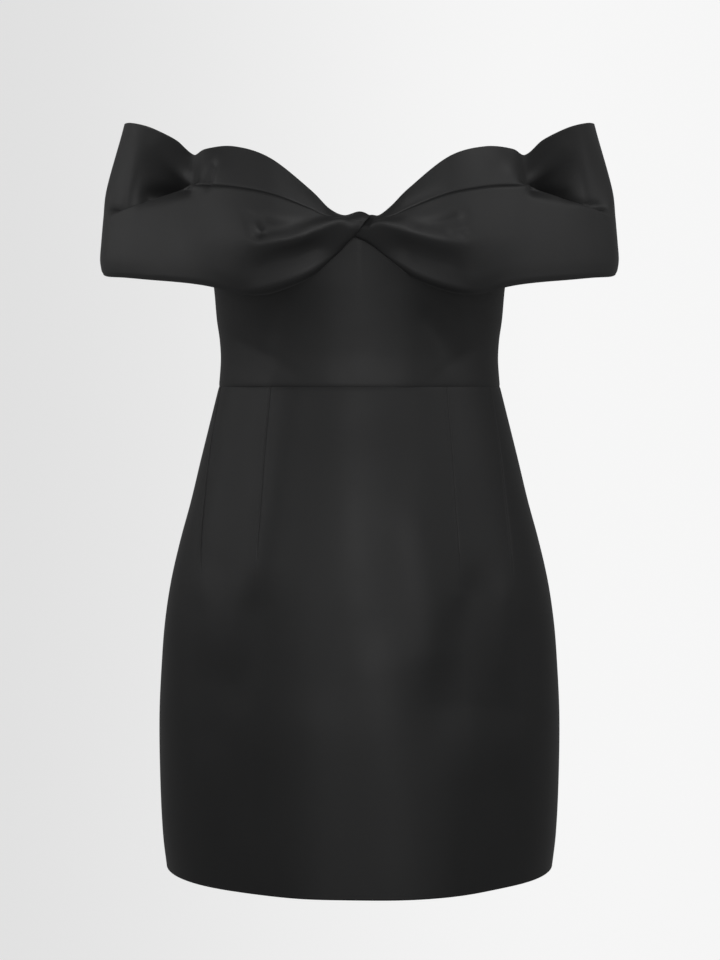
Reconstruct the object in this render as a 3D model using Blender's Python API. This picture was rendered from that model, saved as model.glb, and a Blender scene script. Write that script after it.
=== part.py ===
"""Off-shoulder mini dress in black satin, built at real size as the pieces that a maker cuts and sews.

The dress keeps the hollow form that it has when worn. +Z is up, the front faces -Y, and the origin is the
centre of the waist seam. Sizes are in millimetres and are turned to metres when a mesh is made.
"""
import math

import bmesh
import bpy
from mathutils import Vector

MM = 0.001

CLOTH_WALL = 1.5
SEAM_GAP = 0.3
DRAPE_CLEARANCE = 0.9
SKIRT_LENGTH = 440.0
BACK_TOP = 150.0
UNDERARM = 135.0

# Body rings: height, half width, front depth, back depth, squareness (2 is a true ellipse).
BODICE_RINGS = (
    (0.0, 127.8, 92.0, 88.0, 2.0),
    (24.0, 126.1, 92.5, 87.0, 2.0),
    (42.0, 127.0, 94.0, 86.0, 2.0),
    (60.0, 129.5, 96.0, 85.0, 2.0),
    (88.0, 131.9, 99.0, 84.5, 2.05),
    (110.0, 135.0, 101.0, 84.0, 2.1),
    (135.0, 139.0, 103.0, 84.0, 2.2),
    (160.0, 147.0, 104.0, 85.0, 2.35),
    (185.0, 155.0, 103.0, 86.0, 2.45),
    (207.0, 160.0, 100.0, 86.0, 2.5),
)
SKIRT_RINGS = (
    (-440.0, 177.3, 129.0, 135.0, 2.0),
    (-410.0, 180.7, 128.5, 135.5, 2.0),
    (-362.0, 182.9, 127.5, 136.0, 2.0),
    (-300.0, 183.4, 126.0, 137.0, 2.0),
    (-251.0, 181.0, 123.5, 137.5, 2.0),
    (-214.0, 177.9, 121.5, 137.5, 2.0),
    (-177.0, 172.2, 119.0, 136.0, 2.0),
    (-140.0, 163.6, 115.0, 132.0, 2.0),
    (-104.0, 153.7, 110.0, 124.0, 2.0),
    (-67.0, 144.7, 104.0, 112.0, 2.0),
    (-30.0, 135.4, 97.0, 98.0, 2.0),
    (0.0, 127.8, 92.0, 88.0, 2.0),
)

# The bodice front is eased over two soft cups.
CUP_X = 74.0
CUP_Z = 132.0
CUP_HEIGHT = 22.0
CUP_WIDTH = 34.0
CUP_BELOW = 34.0
CUP_ABOVE = 44.0

# Top edges by the angle round the body from centre front: angle in degrees, height.
BODICE_FRONT_TOP = (
    (0.0, 143.5), (6.5, 142.0), (10.0, 147.0), (16.5, 165.0), (23.0, 180.5), (29.5, 191.5), (36.5, 198.0),
    (42.0, 202.0), (49.0, 203.5), (57.0, 201.5), (65.0, 198.0), (73.0, 182.0), (81.0, 158.0), (90.0, UNDERARM),
)
BODICE_BACK_TOP = (
    (90.0, UNDERARM), (105.0, 143.0), (120.0, 148.5), (140.0, BACK_TOP), (160.0, BACK_TOP), (180.0, BACK_TOP),
)

# Darts: angle at the waist, angle at the tip, height of the tip. Angles run round from centre front.
SKIRT_FRONT_DARTS = (
    (-77.6, -54.3, -181.0),
    (-37.4, -31.0, -178.0),
    (36.7, 30.9, -169.0),
    (66.6, 52.0, -173.0),
)
SKIRT_BACK_DARTS = (
    (128.0, 134.0, -118.0),
    (150.0, 154.0, -135.0),
)
DART_DEPTH = 0.8
DART_HALF_WIDTH = 1.4
SKIRT_HEIGHTS = (
    0.0, -30.0, -60.0, -95.0, -130.0, -160.0, -180.0, -215.0, -255.0, -300.0, -345.0, -390.0, -425.0,
    -SKIRT_LENGTH,
)
BODICE_BANDS = 10

# Sections of the drape, from the twist to the sleeve's back end. Each has four places, as distance from
# centre front, depth and height: lower edge, crest of the roll, tuck line and top edge. The last number
# is how deep the cloth falls in above the tuck line.
KNOT_SECTIONS_LEFT = (
    ((5.0, -116.0, 129.5), (1.0, -121.0, 135.0), (-4.0, -120.5, 141.0), (-10.0, -114.0, 147.0), 0.0),
    ((12.0, -115.0, 122.8), (7.5, -123.0, 135.0), (3.0, -121.0, 141.0), (-1.0, -114.5, 149.0), 0.0),
    ((22.0, -112.5, 114.0), (18.0, -125.0, 136.2), (14.0, -119.5, 142.0), (12.0, -112.5, 146.2), 0.0),
)
KNOT_SECTIONS_RIGHT = (
    ((-10.0, -110.5, 131.0), (-7.0, -112.5, 136.0), (-4.0, -112.5, 140.5), (-2.0, -109.5, 144.5), 0.0),
    ((6.0, -111.0, 124.8), (7.0, -117.0, 134.5), (7.5, -115.5, 140.5), (8.5, -110.0, 144.5), 0.0),
    ((21.0, -111.0, 114.8), (18.5, -123.0, 135.5), (15.0, -118.0, 142.0), (16.0, -110.0, 145.5), 0.0),
)
SLEEVE_SECTIONS = (
    ((38.0, -110.0, 98.3), (34.0, -128.0, 133.0), (28.0, -117.5, 144.8), (27.0, -109.0, 153.0), 0.0),
    ((54.4, -108.0, 88.6), (52.0, -130.0, 126.0), (43.0, -118.0, 151.5), (43.0, -108.0, 168.9), 0.0),
    ((80.0, -104.0, 80.2), (78.0, -128.0, 122.0), (74.0, -115.0, 163.0), (76.7, -104.0, 195.2), 0.0),
    ((103.0, -96.0, 80.8), (102.0, -115.0, 127.0), (107.0, -103.5, 171.5), (107.0, -92.0, 206.3), 0.0),
    ((127.0, -83.0, 86.2), (128.0, -99.0, 131.0), (133.0, -89.0, 173.6), (132.0, -75.0, 205.6), 0.0),
    ((143.0, -74.0, 89.2), (144.0, -88.0, 132.0), (146.0, -79.0, 175.4), (145.0, -64.0, 203.6), 7.0),
    ((160.0, -66.0, 91.4), (161.0, -78.0, 131.5), (162.0, -71.0, 168.0), (160.0, -54.0, 216.0), 15.0),
    ((182.0, -53.0, 93.8), (183.0, -63.0, 130.5), (183.0, -57.5, 161.5), (182.0, -41.0, 227.0), 13.5),
    ((205.0, -37.0, 96.6), (205.0, -44.0, 129.5), (203.0, -41.0, 156.0), (198.0, -26.0, 232.5), 8.0),
    ((223.5, -19.0, 99.6), (224.0, -23.5, 129.0), (222.0, -22.5, 152.4), (207.0, -11.0, 234.8), 4.0),
    ((232.5, 0.0, 104.0), (232.8, -1.0, 128.0), (230.5, -1.0, 150.5), (210.8, 3.0, 234.8), 1.0),
    ((230.5, 20.0, 110.0), (230.5, 21.0, 130.5), (228.0, 21.0, 150.0), (207.5, 18.0, 233.5), 0.0),
    ((213.0, 39.0, 111.0), (213.0, 42.0, 131.0), (210.0, 42.0, 150.0), (194.0, 35.0, 228.0), 0.0),
    ((181.0, 54.0, 108.0), (181.0, 59.0, 129.0), (179.0, 59.0, 147.0), (164.0, 53.0, 207.0), 0.0),
    ((145.0, 61.0, 102.0), (145.0, 67.5, 120.0), (144.0, 68.5, 138.0), (134.0, 64.0, 176.0), 0.0),
    ((116.0, 61.0, 96.5), (116.0, 66.5, 113.0), (115.0, 68.5, 129.0), (109.0, 67.0, 157.0), 0.0),
    ((94.0, 57.0, 93.0), (94.0, 59.5, 108.5), (94.0, 62.0, 124.0), (92.0, 65.0, 150.5), 0.0),
)

# Folds of the drape in front view: start (x, z), end (x, z), sag, width at start and end,
# height at start and end, and the length over which each end fades. A trough has a height below zero.
FRONT_FOLDS_LEFT = (
    ((38.0, 141.0), (85.0, 131.0), -4.0, 5.0, 7.0, -4.0, -11.0, 7.0),
    ((24.0, 122.0), (92.0, 97.0), -6.0, 7.0, 12.0, -4.0, -6.0, 10.0),
    ((150.0, 180.0), (176.0, 205.0), -2.0, 5.0, 9.0, 4.0, 5.0, 9.0),
    ((147.0, 184.0), (150.0, 204.0), 0.0, 5.0, 7.0, -4.0, -6.0, 6.0),
    ((125.0, 193.0), (131.0, 180.0), 0.0, 4.0, 4.0, -2.5, -2.5, 5.0),
)
FRONT_FOLDS_RIGHT = (
    ((42.0, 142.0), (92.0, 134.0), -3.0, 5.0, 7.0, -4.0, -10.0, 7.0),
    ((26.0, 121.0), (98.0, 100.0), -7.0, 7.0, 12.0, -4.0, -5.0, 10.0),
    ((150.0, 179.0), (174.0, 201.0), -2.0, 5.0, 9.0, 4.0, 4.0, 9.0),
    ((146.0, 184.0), (150.0, 204.0), 0.0, 5.0, 8.0, -3.0, -5.0, 6.0),
    ((192.0, 162.0), (214.0, 160.0), 0.0, 4.0, 5.0, -3.0, -4.0, 6.0),
)
BACK_FOLDS = (
    ((96.0, 138.0), (168.0, 178.0), 3.0, 5.0, 10.0, -2.5, -5.0, 14.0),
    ((96.0, 126.0), (190.0, 150.0), 4.0, 5.0, 11.0, 2.5, 4.0, 16.0),
    ((97.0, 114.0), (176.0, 126.0), 3.0, 5.0, 10.0, -2.0, -4.0, 14.0),
)
FRONT_FADE = (-22.0, -2.0)
BACK_FADE = (12.0, 34.0)
TUCK_LAP = 1.6
TUCK_GROOVE = 1.4
TUCK_START = 22.0
TUCK_END = 148.0

# Rows of the drape's cloth: 0 is the lower edge, 1 the crest, 2 the tuck line and 3 the top edge.
DRAPE_COLUMNS = 44
DRAPE_ROWS = (0.0, 0.2, 0.45, 0.7, 0.87, 1.0, 1.15, 1.4, 1.7, 2.0, 2.12, 2.3, 2.55, 2.8, 3.0)


def clear_scene():
    """Start from an empty file."""
    for thing in list(bpy.data.objects):
        bpy.data.objects.remove(thing, do_unlink=True)


def cloth_material(name, colour, roughness):
    """Plain black satin for one piece."""
    material = bpy.data.materials.new(name + "_satin")
    material.use_nodes = True
    shader = material.node_tree.nodes["Principled BSDF"]
    shader.inputs["Base Color"].default_value = (*colour, 1.0)
    shader.inputs["Roughness"].default_value = roughness
    shader.inputs["Metallic"].default_value = 0.0
    return material


def mix(a, b, share):
    """Value between a and b."""
    return a + (b - a) * share


def smooth_step(low, high, value):
    """0 at low, 1 at high, with soft ends."""
    share = min(1.0, max(0.0, (value - low) / (high - low)))
    return share * share * (3.0 - 2.0 * share)


def hermite(rows, keys, key):
    """Smooth curve through the rows of a table, each row a list of numbers, read at one key."""
    last = len(rows) - 1
    key = min(keys[last], max(keys[0], key))
    i = 0
    while i < last - 1 and key > keys[i + 1]:
        i += 1
    span = keys[i + 1] - keys[i]
    share = (key - keys[i]) / span
    before = max(0, i - 1)
    after = min(last, i + 2)
    result = []
    for column in range(len(rows[0])):
        slope_a = (rows[i + 1][column] - rows[before][column]) / (keys[i + 1] - keys[before])
        slope_b = (rows[after][column] - rows[i][column]) / (keys[after] - keys[i])
        start = rows[i][column]
        step = rows[i + 1][column] - start
        a = slope_a * span - step
        b = step - slope_b * span
        result.append(start + share * step + share * (1 - share) * (a * (1 - share) + b * share))
    return result


def table_at(table, key):
    """Columns of a table after the first, which is its key."""
    return hermite([row[1:] for row in table], [row[0] for row in table], key)


def cup_rise(x, height):
    """How far the cups push the bodice front forward."""
    across = (abs(x) - CUP_X) / CUP_WIDTH
    along = (height - CUP_Z) / (CUP_ABOVE if height > CUP_Z else CUP_BELOW)
    return CUP_HEIGHT * math.exp(-0.5 * (across * across + along * along))


def ring_point(rings, height, degrees, grow=0.0):
    """Point of the body at a height and an angle from centre front, moved out by grow."""
    half_width, front, back, squareness = table_at(rings, height)
    angle = math.radians(degrees)
    side = math.sin(angle)
    ahead = math.cos(angle)
    power = 2.0 / squareness
    depth = front if ahead > 0 else back
    x = math.copysign(abs(side) ** power, side) * (half_width + grow)
    y = -math.copysign(abs(ahead) ** power, ahead) * (depth + grow)
    if rings is BODICE_RINGS and ahead > 0:
        y -= cup_rise(x, height) * min(1.0, 1.6 * ahead ** power)
    return Vector((x, y, height))


def body_depth(x, height, front):
    """Depth of the bodice's outer face at a place in front or back view, or None beside the body."""
    half_width, front_depth, back_depth, squareness = table_at(BODICE_RINGS, height)
    share = abs(x) / half_width
    if share >= 1.0:
        return None
    reach = (1.0 - share ** squareness) ** (1.0 / squareness)
    if front:
        return -front_depth * reach - cup_rise(x, height) * min(1.0, 1.6 * reach)
    return back_depth * reach


def seam_angle(rings, height, degrees):
    """Angle just inside a seam plane, so that two panels stand SEAM_GAP apart."""
    half_width, front, back, squareness = table_at(rings, height)
    half_gap = SEAM_GAP / 2.0
    quarter = round(degrees / 90.0)
    if abs(quarter) == 1:
        turn = math.degrees(math.asin((half_gap / front) ** (squareness / 2.0)))
        back_turn = math.degrees(math.asin((half_gap / back) ** (squareness / 2.0)))
        return math.copysign(90.0 - turn, degrees), math.copysign(90.0 + back_turn, degrees)
    turn = math.degrees(math.asin((half_gap / half_width) ** (squareness / 2.0)))
    return math.copysign(180.0 - turn, degrees), math.copysign(180.0 - turn, degrees)


def wall_from_grid(name, inner, outer, colour, roughness):
    """Closed cloth wall between two grids of points, as one named object."""
    columns = len(inner)
    rows = len(inner[0])
    mesh = bmesh.new()
    bmesh.ops.create_grid(mesh, x_segments=columns - 1, y_segments=rows - 1, size=0.5)
    bmesh.ops.extrude_face_region(mesh, geom=mesh.faces[:])
    seen = set()
    for vertex in mesh.verts:
        column = round((vertex.co.x + 0.5) * (columns - 1))
        row = round((vertex.co.y + 0.5) * (rows - 1))
        grid = outer if (column, row) in seen else inner
        seen.add((column, row))
        vertex.co = grid[column][row] * MM
    if mesh.calc_volume(signed=True) < 0.0:
        bmesh.ops.reverse_faces(mesh, faces=mesh.faces[:])
    data = bpy.data.meshes.new(name)
    mesh.to_mesh(data)
    mesh.free()
    data.shade_smooth()
    data.set_sharp_from_angle(angle=math.radians(50.0))
    piece = bpy.data.objects.new(name, data)
    piece.data.materials.append(cloth_material(name, colour, roughness))
    bpy.context.scene.collection.objects.link(piece)
    return piece


def bodice_panel(name, start, end, columns, top_edge, colour):
    """A bodice panel between two seams, from the waist to its shaped top edge."""
    inner = []
    outer = []
    for column in range(columns + 1):
        share = column / columns
        degrees = mix(start, end, share)
        top = table_at(top_edge, abs(degrees))[0]
        inner_line = []
        outer_line = []
        for row in range(BODICE_BANDS + 1):
            height = mix(SEAM_GAP / 2.0, top, row / BODICE_BANDS)
            angle = edge_angle(BODICE_RINGS, height, start, end, share)
            outer_line.append(ring_point(BODICE_RINGS, height, angle))
            inner_line.append(ring_point(BODICE_RINGS, height, angle, -CLOTH_WALL))
        inner.append(inner_line)
        outer.append(outer_line)
    return wall_from_grid(name, inner, outer, colour, 0.5)


def edge_angle(rings, height, start, end, share):
    """Angle of a column, drawn in from the panel's seams."""
    front_panel = abs(start) <= 90.0 and abs(end) <= 90.0
    chosen = 0 if front_panel else 1
    first = seam_angle(rings, height, start)[chosen]
    final = seam_angle(rings, height, end)[chosen]
    return mix(first, final, share)


def dart_at(dart, height):
    """Angle and depth of a dart at a height."""
    waist_angle, tip_angle, tip = dart
    share = min(1.0, height / tip)
    return mix(waist_angle, tip_angle, share), DART_DEPTH * (1.0 - smooth_step(0.6, 1.0, share))


def skirt_panel(name, start, end, darts, spread, colour):
    """A skirt panel whose columns follow its darts; spread gives the columns between one and the next."""
    lines = []
    for height in SKIRT_HEIGHTS:
        level = min(height, -SEAM_GAP / 2.0)
        first = edge_angle(SKIRT_RINGS, level, start, end, 0.0)
        final = edge_angle(SKIRT_RINGS, level, start, end, 1.0)
        stops = [(first, 0.0)]
        half_turn = math.degrees(DART_HALF_WIDTH / table_at(SKIRT_RINGS, level)[0])
        for dart in darts:
            angle, depth = dart_at(dart, level)
            stops += [(angle - half_turn, 0.0), (angle, depth), (angle + half_turn, 0.0)]
        stops.append((final, 0.0))
        counts = []
        for gap in spread:
            counts += [gap, 1, 1]
        counts = counts[:-2]
        line = [stops[0]]
        for (low, _), (high, depth), count in zip(stops, stops[1:], counts):
            for step in range(1, count + 1):
                line.append((mix(low, high, step / count), depth if step == count else 0.0))
        lines.append([(ring_point(SKIRT_RINGS, level, a, -d), ring_point(SKIRT_RINGS, level, a, -CLOTH_WALL))
                      for a, d in line])
    columns = len(lines[0])
    outer = [[lines[row][column][0] for row in range(len(lines))] for column in range(columns)]
    inner = [[lines[row][column][1] for row in range(len(lines))] for column in range(columns)]
    return wall_from_grid(name, inner, outer, colour, 0.48)


def fold_height(folds, x, z):
    """Sum of the ridges and troughs at a place in front view."""
    total = 0.0
    for start, end, sag, width_a, width_b, height_a, height_b, fade in folds:
        run = Vector(end) - Vector(start)
        length = run.length
        along = run / length
        to_point = Vector((x, z)) - Vector(start)
        distance = to_point.dot(along)
        share = min(1.0, max(0.0, distance / length))
        across = along.x * to_point.y - along.y * to_point.x - sag * 4.0 * share * (1.0 - share)
        past = max(0.0, -distance, distance - length)
        total += (mix(height_a, height_b, share)
                  * math.exp(-(across / mix(width_a, width_b, share)) ** 2)
                  * math.exp(-(past / fade) ** 2))
    return total


def drape_sections(knot):
    """All sections of one side as flat rows of thirteen numbers."""
    return [[*low, *crest, *tuck, *top, fall] for low, crest, tuck, top, fall in (*knot, *SLEEVE_SECTIONS)]


def section_places(values):
    """The four places of a section."""
    return [values[0:3], values[3:6], values[6:9], values[9:12]]


def drape_point(sections, folds, along, up):
    """Inner face of the drape at a section number and a row."""
    keys = list(range(len(sections)))
    values = hermite(sections, keys, along)
    ahead = hermite(sections, keys, min(keys[-1], along + 0.2))
    behind = hermite(sections, keys, max(0.0, along - 0.2))
    run = Vector((ahead[6] - behind[6], ahead[7] - behind[7]))
    outward = Vector((run.y, -run.x, 0.0)).normalized()
    point = Vector(hermite(section_places(values), (0.0, 1.0, 2.0, 3.0), up))
    bulge = fold_height(folds, point.x, point.z) * (1.0 - smooth_step(*FRONT_FADE, point.y))
    bulge += fold_height(BACK_FOLDS, point.x, point.z) * smooth_step(*BACK_FADE, point.y)
    above = up - 2.0
    if above > 0.0:
        bulge -= values[12] * smooth_step(0.0, 0.2, above) * (1.0 - smooth_step(0.25, 0.8, above))
    stitched = (point.y < 0.0) * smooth_step(TUCK_START - 8.0, TUCK_START + 8.0, point.x)
    stitched *= 1.0 - smooth_step(TUCK_END - 4.0, TUCK_END + 4.0, point.x)
    if above > 0.0:
        bulge -= TUCK_GROOVE * stitched * (1.0 - smooth_step(0.1, 0.3, above))
    else:
        bulge += TUCK_LAP * stitched * smooth_step(-0.25, 0.0, above)
    point += outward * bulge
    surface = body_depth(point.x, point.z, point.y < 0.0)
    if surface is not None and point.y < 0.0:
        point.y = min(point.y, surface - DRAPE_CLEARANCE)
    elif surface is not None:
        point.y = max(point.y, surface + DRAPE_CLEARANCE)
    return point


def drape(name, side, knot, folds, colour):
    """One half of the draped front with its sleeve, from the twist round the arm to the back."""
    sections = drape_sections(knot)
    last = len(sections) - 1
    inner = [[drape_point(sections, folds, last * column / DRAPE_COLUMNS, up) for up in DRAPE_ROWS]
             for column in range(DRAPE_COLUMNS + 1)]
    outer = []
    for column in range(DRAPE_COLUMNS + 1):
        line = []
        for row in range(len(DRAPE_ROWS)):
            across = inner[min(DRAPE_COLUMNS, column + 1)][row] - inner[max(0, column - 1)][row]
            upward = inner[column][min(len(DRAPE_ROWS) - 1, row + 1)] - inner[column][max(0, row - 1)]
            line.append(inner[column][row] + across.cross(upward).normalized() * CLOTH_WALL)
        outer.append(line)
    for grid in (inner, outer):
        for line in grid:
            for point in line:
                point.x *= side
    return wall_from_grid(name, inner, outer, colour, 0.5)


def build():
    """Every piece of the dress."""
    clear_scene()
    bodice_black = (0.020, 0.021, 0.022)
    skirt_black = (0.021, 0.022, 0.024)
    drape_black = (0.030, 0.032, 0.034)
    bodice_panel("bodice_front", -90.0, 90.0, 32, BODICE_FRONT_TOP, bodice_black)
    bodice_panel("bodice_back_left", -90.0, -180.0, 12, BODICE_BACK_TOP, bodice_black)
    bodice_panel("bodice_back_right", 90.0, 180.0, 12, BODICE_BACK_TOP, bodice_black)
    skirt_panel("skirt_front", -90.0, 90.0, SKIRT_FRONT_DARTS, (3, 5, 8, 5, 3), skirt_black)
    mirrored = tuple((-waist, -tip, height) for waist, tip, height in SKIRT_BACK_DARTS)
    skirt_panel("skirt_back_right", 90.0, 180.0, SKIRT_BACK_DARTS, (5, 3, 4), skirt_black)
    skirt_panel("skirt_back_left", -90.0, -180.0, mirrored, (5, 3, 4), skirt_black)
    drape("drape_sleeve_left", -1.0, KNOT_SECTIONS_LEFT, FRONT_FOLDS_LEFT, drape_black)
    drape("drape_sleeve_right", 1.0, KNOT_SECTIONS_RIGHT, FRONT_FOLDS_RIGHT, drape_black)


build()
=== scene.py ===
"""Looks of the off-shoulder mini dress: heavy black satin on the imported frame. Metres, +Z up, front -Y."""
import math

import bmesh
import bpy
from mathutils import Euler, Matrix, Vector


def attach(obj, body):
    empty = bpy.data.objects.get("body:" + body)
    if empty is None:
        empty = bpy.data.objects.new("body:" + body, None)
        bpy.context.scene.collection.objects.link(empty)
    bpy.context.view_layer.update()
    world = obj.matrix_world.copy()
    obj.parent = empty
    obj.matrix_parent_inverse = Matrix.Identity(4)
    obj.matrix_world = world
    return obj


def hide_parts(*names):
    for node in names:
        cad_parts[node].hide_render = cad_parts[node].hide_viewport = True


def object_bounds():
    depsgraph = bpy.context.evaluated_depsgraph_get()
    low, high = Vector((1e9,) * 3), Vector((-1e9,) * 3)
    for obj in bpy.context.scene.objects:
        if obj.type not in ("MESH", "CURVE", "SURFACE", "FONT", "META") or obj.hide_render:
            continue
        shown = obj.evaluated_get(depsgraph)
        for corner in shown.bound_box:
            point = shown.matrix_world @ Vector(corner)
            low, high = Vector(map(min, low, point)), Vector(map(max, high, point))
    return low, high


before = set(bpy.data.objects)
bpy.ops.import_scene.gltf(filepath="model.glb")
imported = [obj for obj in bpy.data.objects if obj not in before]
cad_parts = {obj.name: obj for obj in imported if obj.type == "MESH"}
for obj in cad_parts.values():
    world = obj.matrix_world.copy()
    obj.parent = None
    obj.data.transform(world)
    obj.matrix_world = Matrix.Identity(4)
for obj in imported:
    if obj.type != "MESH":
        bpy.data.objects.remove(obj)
cad_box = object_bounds()

# Bodice front
# One panel of interlined black satin from side seam to side seam, eased over two soft cups. It is cut with
# a sweetheart top and two armhole edges, turned under at the top and sewn to the skirt at the waist.
# Lengths of the cloth are in millimetres from the centre of the waist seam, and angles from centre front.
MM = 0.001
CLOTH_WALL = 1.5
# Side of its points on which a panel has its wall, as Solidify counts it.
WALL_INSIDE, WALL_OUTSIDE = -1.0, 1.0
EDGE_ROUND, EDGE_ANGLE = 0.35, 60.0
UNDERARM = 135.0
BACK_TOP = 150.0
# Rings round the body: height, half width, depth in front, depth behind and squareness.
BODICE_RINGS = (
    (0.0, 127.8, 92.0, 88.0, 2.0),
    (24.0, 126.1, 92.5, 87.0, 2.0),
    (42.0, 127.0, 94.0, 86.0, 2.0),
    (60.0, 129.5, 96.0, 85.0, 2.0),
    (88.0, 131.9, 99.0, 84.5, 2.05),
    (110.0, 135.0, 101.0, 84.0, 2.1),
    (135.0, 139.0, 103.0, 84.0, 2.2),
    (160.0, 147.0, 104.0, 85.0, 2.35),
    (185.0, 155.0, 103.0, 86.0, 2.45),
    (207.0, 160.0, 100.0, 86.0, 2.5),
)
CUP_X, CUP_Z, CUP_HEIGHT = 74.0, 132.0, 22.0
CUP_WIDTH, CUP_BELOW, CUP_ABOVE = 34.0, 34.0, 44.0
# How soon a cup's fullness fades towards the side seam.
CUP_FADE = 1.6
# Top edge: angle and height.
BODICE_FRONT_TOP = (
    (0.0, 143.5), (6.5, 142.0), (10.0, 147.0), (16.5, 165.0), (23.0, 180.5), (29.5, 191.5), (36.5, 198.0),
    (42.0, 202.0), (49.0, 203.5), (57.0, 201.5), (65.0, 198.0), (73.0, 182.0), (81.0, 158.0),
    (90.0, UNDERARM),
)
# A crease is left out beyond this many of its widths or fades.
CREASE_REACH = 3.0
# Soft creases: start and end as (x, z), sag, width at start and end, height at start and end, end fade.
BODICE_CREASES = (
    ((62.0, 56.0), (84.0, 22.0), 2.0, 9.0, 9.0, -1.3, -1.1, 14.0),
    ((82.0, 84.0), (92.0, 50.0), 0.0, 10.0, 9.0, 1.0, 0.8, 14.0),
    ((34.0, 72.0), (44.0, 14.0), 1.0, 12.0, 10.0, 0.5, 0.4, 16.0),
    ((-20.0, 84.0), (-26.0, 12.0), 0.0, 14.0, 12.0, 0.5, 0.4, 16.0),
    ((-70.0, 70.0), (-84.0, 18.0), -2.0, 9.0, 8.0, -0.7, -0.5, 14.0),
    ((-108.0, 40.0), (-62.0, 14.0), 2.0, 6.0, 6.0, -0.4, -0.4, 10.0),
    ((104.0, 34.0), (70.0, 10.0), -2.0, 6.0, 5.0, -0.4, -0.3, 10.0),
)
# A seam: how far the cloth dips into it, how wide the dip is, what of it the waist and the sides take, and
# how far the allowance is turned in.
SEAM_DIP, SEAM_SOFT = 0.9, 2.4
WAIST_DIP, SIDE_DIP = 0.3, 0.6
SEAM_TURN = 3.0
# Distances of the first columns from a seam, and of the first rows from an edge.
SEAM_STEPS = (0.0, 1.8, 3.2, 5.0)
EDGE_STEPS = (0.0, 0.4, 1.0, 2.0)


def mix(a, b, share):
    """Value between a and b."""
    return a + (b - a) * share


def smooth_step(low, high, value):
    """0 at low, 1 at high, with soft ends."""
    share = min(1.0, max(0.0, (value - low) / (high - low)))
    return share * share * (3.0 - 2.0 * share)


def hermite(rows, keys, key):
    """Smooth curve through rows of numbers, read at one key."""
    last = len(rows) - 1
    key = min(keys[last], max(keys[0], key))
    i = 0
    while i < last - 1 and key > keys[i + 1]:
        i += 1
    span = keys[i + 1] - keys[i]
    share = (key - keys[i]) / span
    before, after = max(0, i - 1), min(last, i + 2)
    result = []
    for column in range(len(rows[0])):
        slope_a = (rows[i + 1][column] - rows[before][column]) / (keys[i + 1] - keys[before])
        slope_b = (rows[after][column] - rows[i][column]) / (keys[after] - keys[i])
        start = rows[i][column]
        step = rows[i + 1][column] - start
        a = slope_a * span - step
        b = step - slope_b * span
        result.append(start + share * step + share * (1 - share) * (a * (1 - share) + b * share))
    return result


def table_at(table, key):
    """Columns of a table after the first, which is its key."""
    return hermite([row[1:] for row in table], [row[0] for row in table], key)


def cup_rise(x, height):
    """How far the cups push the bodice front forward."""
    across = (abs(x) - CUP_X) / CUP_WIDTH
    along = (height - CUP_Z) / (CUP_ABOVE if height > CUP_Z else CUP_BELOW)
    return CUP_HEIGHT * math.exp(-0.5 * (across * across + along * along))


def ring_point(ring, height, degrees, grow, cups):
    """Point of the body at a height and an angle from centre front, moved out by grow."""
    half_width, front, back, squareness = ring
    angle = math.radians(degrees)
    side, ahead = math.sin(angle), math.cos(angle)
    power = 2.0 / squareness
    depth = front if ahead > 0 else back
    x = math.copysign(abs(side) ** power, side) * (half_width + grow)
    y = -math.copysign(abs(ahead) ** power, ahead) * (depth + grow)
    if cups and ahead > 0:
        y -= cup_rise(x, height) * min(1.0, CUP_FADE * ahead ** power)
    return Vector((x, y, height))


def crease_height(creases, x, z):
    """Sum of the soft ridges and troughs at a place in front view."""
    total = 0.0
    for start, end, sag, width_a, width_b, height_a, height_b, fade in creases:
        run_x, run_z = end[0] - start[0], end[1] - start[1]
        length = math.hypot(run_x, run_z)
        run_x, run_z = run_x / length, run_z / length
        off_x, off_z = x - start[0], z - start[1]
        distance = off_x * run_x + off_z * run_z
        past = max(0.0, -distance, distance - length)
        if past > CREASE_REACH * fade:
            continue
        share = min(1.0, max(0.0, distance / length))
        across = run_x * off_z - run_z * off_x - sag * 4.0 * share * (1.0 - share)
        width = mix(width_a, width_b, share)
        if abs(across) > CREASE_REACH * width:
            continue
        total += mix(height_a, height_b, share) * math.exp(-(across / width) ** 2 - (past / fade) ** 2)
    return total


def seam_dip(distance):
    """How far the cloth dips at a distance from a seam."""
    return SEAM_DIP * (1.0 - smooth_step(0.0, SEAM_SOFT, distance))


def panel_dip(to_waist, angle, start, end, half_width):
    """Dip of a panel beside the waist seam and beside the seams at its start and end."""
    to_side = min(abs(angle - start), abs(end - angle)) * math.radians(1.0) * half_width
    return max(WAIST_DIP * seam_dip(to_waist), SIDE_DIP * seam_dip(to_side))


def spaced(start, end, count, steps):
    """Even positions from start to end, with extra ones at the given steps from both ends."""
    inner = [mix(start + steps[-1], end - steps[-1], i / count) for i in range(count + 1)]
    first = [start + step for step in steps[:-1]]
    final = [end - step for step in reversed(steps[:-1])]
    return first + inner + final


def turned_in(columns):
    """The same columns of points with a seam allowance turned in at both sides."""
    def allowance(line):
        return [point - Vector((point.x, point.y, 0.0)).normalized() * SEAM_TURN for point in line]

    return [allowance(columns[0]), *columns, allowance(columns[-1])]


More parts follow.
